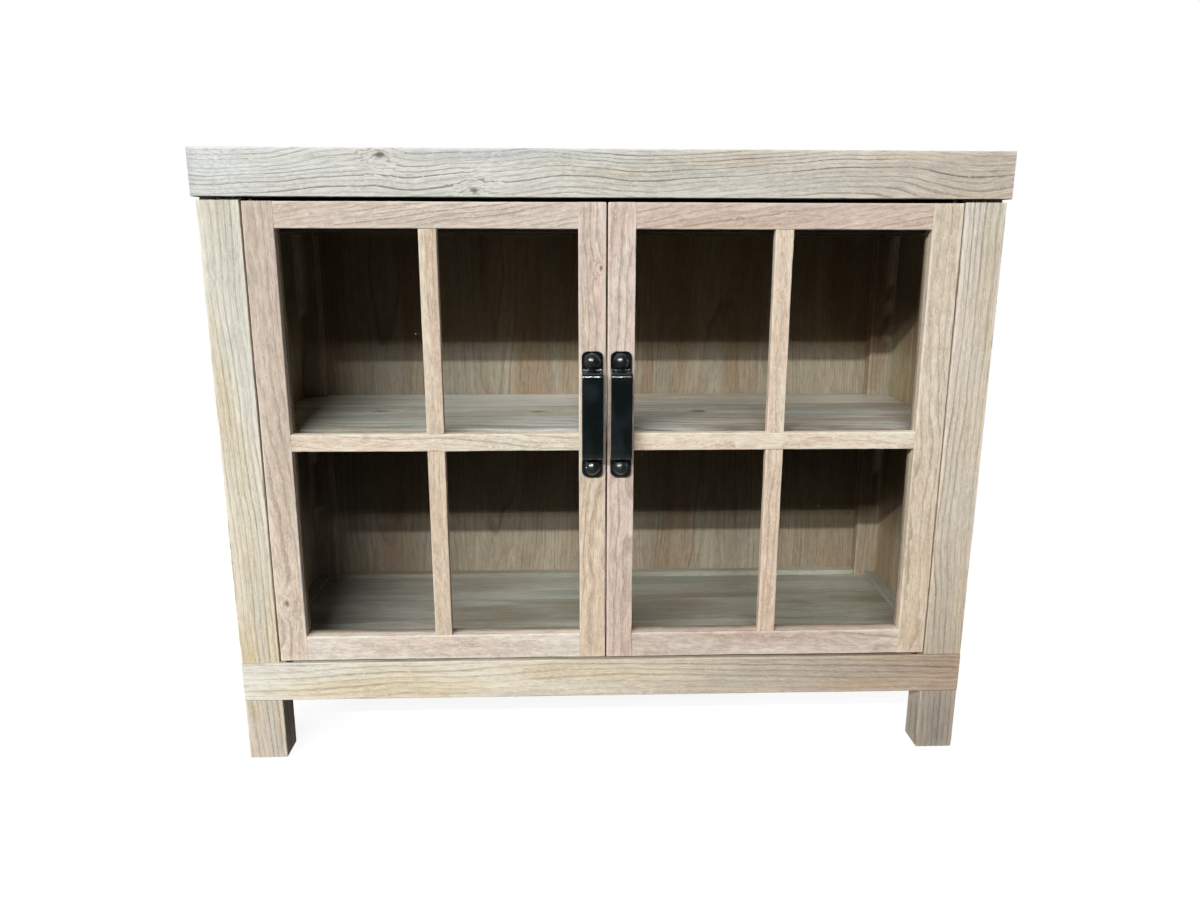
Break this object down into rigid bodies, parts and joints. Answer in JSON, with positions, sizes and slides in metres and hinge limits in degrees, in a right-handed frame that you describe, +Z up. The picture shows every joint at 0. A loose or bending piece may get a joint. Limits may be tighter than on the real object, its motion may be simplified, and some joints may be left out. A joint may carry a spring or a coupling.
{
  "type": "glass-front cabinet",
  "caption": "Low sideboard in weathered wood with a thick framed top, square posts, paired glazed doors with cross bars, an inner shelf and black iron strap handles.",
  "frame": {"origin": "on the floor, below the middle of the cabinet's bounding box, handles included", "axes": "+Z up, the doors face -Y, +X to the right as one faces the doors"},
  "size_m": [1.088, 0.408, 0.883],
  "materials": {
    "top_wood": "weathered, bleached, matt, grey-beige with dark grain",
    "post_wood": "weathered, matt, yellow-beige with streaks",
    "door_wood": "weathered, matt, pinkish beige",
    "inner_wood": "sawn boards, matt, brownish beige",
    "glass": "clear",
    "black_iron": "black, satin to glossy, hand-worked",
    "brass_bush": "turned",
    "steel": "zinc plated"
  },
  "bodies": {
    "carcass": {"back_board_1": "inner_wood", "back_board_2": "inner_wood", "back_board_3": "inner_wood", "back_board_4": "inner_wood", "back_board_5": "inner_wood", "bottom_panel": "inner_wood", "door_catches": "steel", "front_apron": "post_wood", "lower_pivot_pins": "steel", "lower_rail_front": "inner_wood", "lower_rail_left": "inner_wood", "lower_rail_rear": "inner_wood", "lower_rail_right": "inner_wood", "post_front_left": "post_wood", "post_front_right": "post_wood", "post_rear_left": "post_wood", "post_rear_right": "post_wood", "shelf": "inner_wood", "shelf_cleat_left": "inner_wood", "shelf_cleat_right": "inner_wood", "side_panel_left": "inner_wood", "side_panel_right": "inner_wood", "top_batten": "top_wood", "top_frame_front": "top_wood", "top_frame_left": "top_wood", "top_frame_rear": "top_wood", "top_frame_right": "top_wood", "top_panel": "top_wood", "top_screws": "steel", "upper_pivot_pins": "steel", "upper_rail_front": "inner_wood", "upper_rail_left": "inner_wood", "upper_rail_rear": "inner_wood", "upper_rail_right": "inner_wood"},
    "left_door": {"left_door_bottom_rail": "door_wood", "left_door_cross_bar": "door_wood", "left_door_glass": "glass", "left_door_glazing_beads": "door_wood", "left_door_handle": "black_iron", "left_door_handle_bolts": "black_iron", "left_door_hinge_stile": "door_wood", "left_door_lower_bar": "door_wood", "left_door_meeting_stile": "door_wood", "left_door_pivot_bushes": "brass_bush", "left_door_strike_plate": "steel", "left_door_top_rail": "door_wood", "left_door_upper_bar": "door_wood"},
    "right_door": {"right_door_bottom_rail": "door_wood", "right_door_cross_bar": "door_wood", "right_door_glass": "glass", "right_door_glazing_beads": "door_wood", "right_door_handle": "black_iron", "right_door_handle_bolts": "black_iron", "right_door_hinge_stile": "door_wood", "right_door_lower_bar": "door_wood", "right_door_meeting_stile": "door_wood", "right_door_pivot_bushes": "brass_bush", "right_door_strike_plate": "steel", "right_door_top_rail": "door_wood", "right_door_upper_bar": "door_wood"}
  },
  "joints": [
    {"name": "left_door_hinge", "type": "hinge", "parent": "carcass", "child": "left_door", "pos_m": [-0.47, -0.174, 0.1595], "axis": [0, 0, -1], "range_deg": [0, 110]},
    {"name": "right_door_hinge", "type": "hinge", "parent": "carcass", "child": "right_door", "pos_m": [0.47, -0.174, 0.1595], "axis": [0, 0, 1], "range_deg": [0, 110]}
  ]
}
